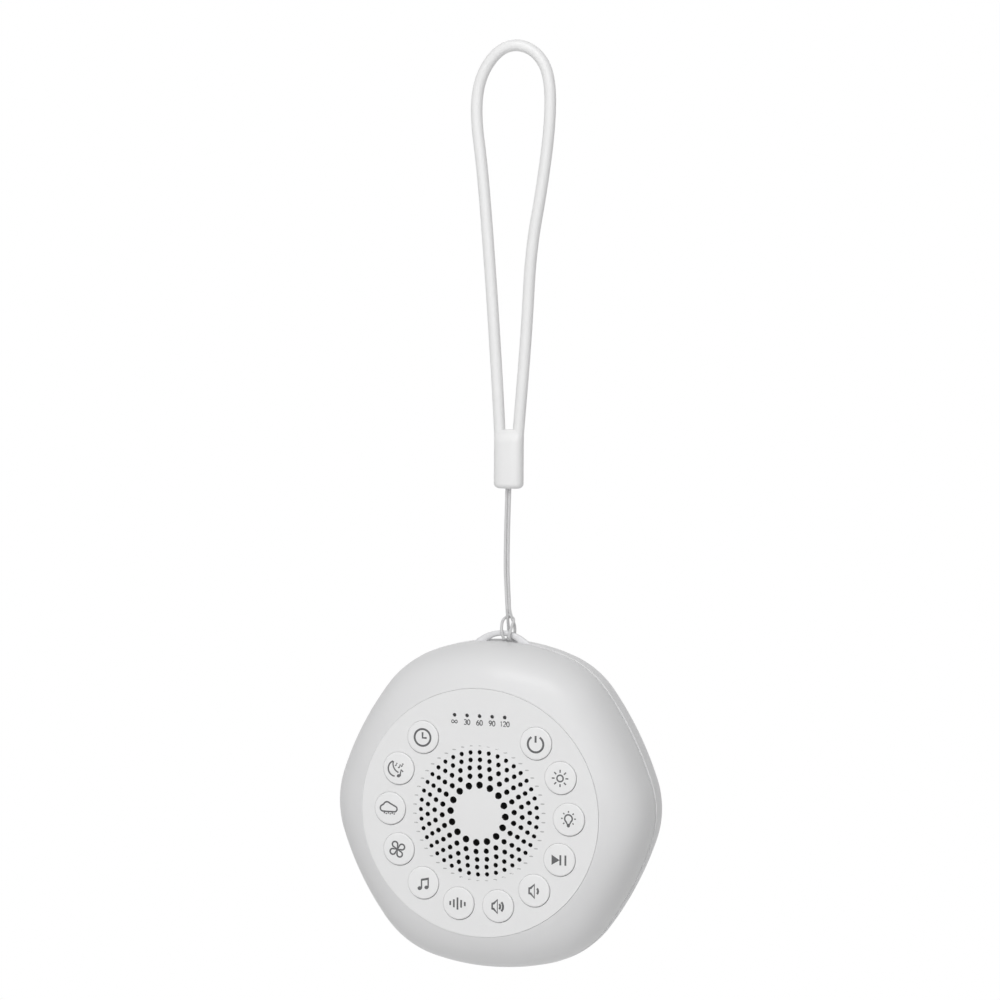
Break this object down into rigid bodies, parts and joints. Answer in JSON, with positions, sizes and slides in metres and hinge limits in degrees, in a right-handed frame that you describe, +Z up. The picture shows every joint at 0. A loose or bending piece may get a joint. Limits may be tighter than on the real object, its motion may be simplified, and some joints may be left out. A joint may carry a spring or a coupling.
{
  "type": "portable sound machine",
  "caption": "Palm-sized white noise machine with a rounded hexagon case, domed speaker grille, ring of push buttons and silicone wrist lanyard.",
  "frame": {"origin": "inside top of the lanyard loop, where it lies on the finger, wrist or hook that holds it, with the case hanging below", "axes": "+Z up along the hanging lanyard, -Y out of the front of the case, +X to the right as seen from the front"},
  "size_m": [0.0944, 0.0334, 0.2656],
  "materials": {
    "shell": "satin",
    "plate": "satin",
    "buttons": "satin",
    "cloth": "matte",
    "basket": "satin",
    "cone_paper": "matte",
    "magnet": "satin",
    "board": "satin",
    "switch": "satin",
    "chip": "gloss",
    "smoked": "gloss",
    "foil": "satin",
    "foam": "matte",
    "socket": "satin",
    "screw": "satin",
    "eyelet": "gloss",
    "silicone": "satin",
    "string": "satin",
    "barrel": "satin"
  },
  "bodies": {
    "lanyard": {"lanyard_loop": "silicone", "lanyard_barrel": "barrel", "lanyard_string": "string"},
    "housing": {"front_shell": "shell", "rear_shell": "shell", "face_plate": "plate", "grille_cloth": "cloth", "speaker_basket": "basket", "speaker_cone": "cone_paper", "speaker_magnet": "magnet", "main_board": "board", "button_switches": "switch", "indicator_lights": "chip", "indicator_light_guide": "smoked", "night_lights": "chip", "battery": "foil", "battery_pad": "foam", "charge_board": "board", "usb_socket": "socket", "housing_screws": "screw", "lanyard_eyelet": "eyelet"},
    "button_timer": {"button_timer": "buttons"},
    "button_lullaby": {"button_lullaby": "buttons"},
    "button_rain": {"button_rain": "buttons"},
    "button_fan": {"button_fan": "buttons"},
    "button_music": {"button_music": "buttons"},
    "button_noise": {"button_noise": "buttons"},
    "button_volume_up": {"button_volume_up": "buttons"},
    "button_volume_down": {"button_volume_down": "buttons"},
    "button_play_pause": {"button_play_pause": "buttons"},
    "button_lamp": {"button_lamp": "buttons"},
    "button_brightness": {"button_brightness": "buttons"},
    "button_power": {"button_power": "buttons"}
  },
  "joints": [
    {"name": "housing_swing", "type": "hinge", "parent": "lanyard", "child": "housing", "pos_m": [-0.0016, 0, -0.16584], "axis": [1, 0, 0], "range_deg": [-60, 60]},
    {"name": "button_timer_press", "type": "slide", "parent": "housing", "child": "button_timer", "axis": [0, 1, 0], "range_m": [0, 0.0004], "stiffness_N_per_m": 600, "springref_m": -0.002},
    {"name": "button_lullaby_press", "type": "slide", "parent": "housing", "child": "button_lullaby", "axis": [0, 1, 0], "range_m": [0, 0.0004], "stiffness_N_per_m": 600, "springref_m": -0.002},
    {"name": "button_rain_press", "type": "slide", "parent": "housing", "child": "button_rain", "axis": [0, 1, 0], "range_m": [0, 0.0004], "stiffness_N_per_m": 600, "springref_m": -0.002},
    {"name": "button_fan_press", "type": "slide", "parent": "housing", "child": "button_fan", "axis": [0, 1, 0], "range_m": [0, 0.0004], "stiffness_N_per_m": 600, "springref_m": -0.002},
    {"name": "button_music_press", "type": "slide", "parent": "housing", "child": "button_music", "axis": [0, 1, 0], "range_m": [0, 0.0004], "stiffness_N_per_m": 600, "springref_m": -0.002},
    {"name": "button_noise_press", "type": "slide", "parent": "housing", "child": "button_noise", "axis": [0, 1, 0], "range_m": [0, 0.0004], "stiffness_N_per_m": 600, "springref_m": -0.002},
    {"name": "button_volume_up_press", "type": "slide", "parent": "housing", "child": "button_volume_up", "axis": [0, 1, 0], "range_m": [0, 0.0004], "stiffness_N_per_m": 600, "springref_m": -0.002},
    {"name": "button_volume_down_press", "type": "slide", "parent": "housing", "child": "button_volume_down", "axis": [0, 1, 0], "range_m": [0, 0.0004], "stiffness_N_per_m": 600, "springref_m": -0.002},
    {"name": "button_play_pause_press", "type": "slide", "parent": "housing", "child": "button_play_pause", "axis": [0, 1, 0], "range_m": [0, 0.0004], "stiffness_N_per_m": 600, "springref_m": -0.002},
    {"name": "button_lamp_press", "type": "slide", "parent": "housing", "child": "button_lamp", "axis": [0, 1, 0], "range_m": [0, 0.0004], "stiffness_N_per_m": 600, "springref_m": -0.002},
    {"name": "button_brightness_press", "type": "slide", "parent": "housing", "child": "button_brightness", "axis": [0, 1, 0], "range_m": [0, 0.0004], "stiffness_N_per_m": 600, "springref_m": -0.002},
    {"name": "button_power_press", "type": "slide", "parent": "housing", "child": "button_power", "axis": [0, 1, 0], "range_m": [0, 0.0004], "stiffness_N_per_m": 600, "springref_m": -0.002}
  ]
}
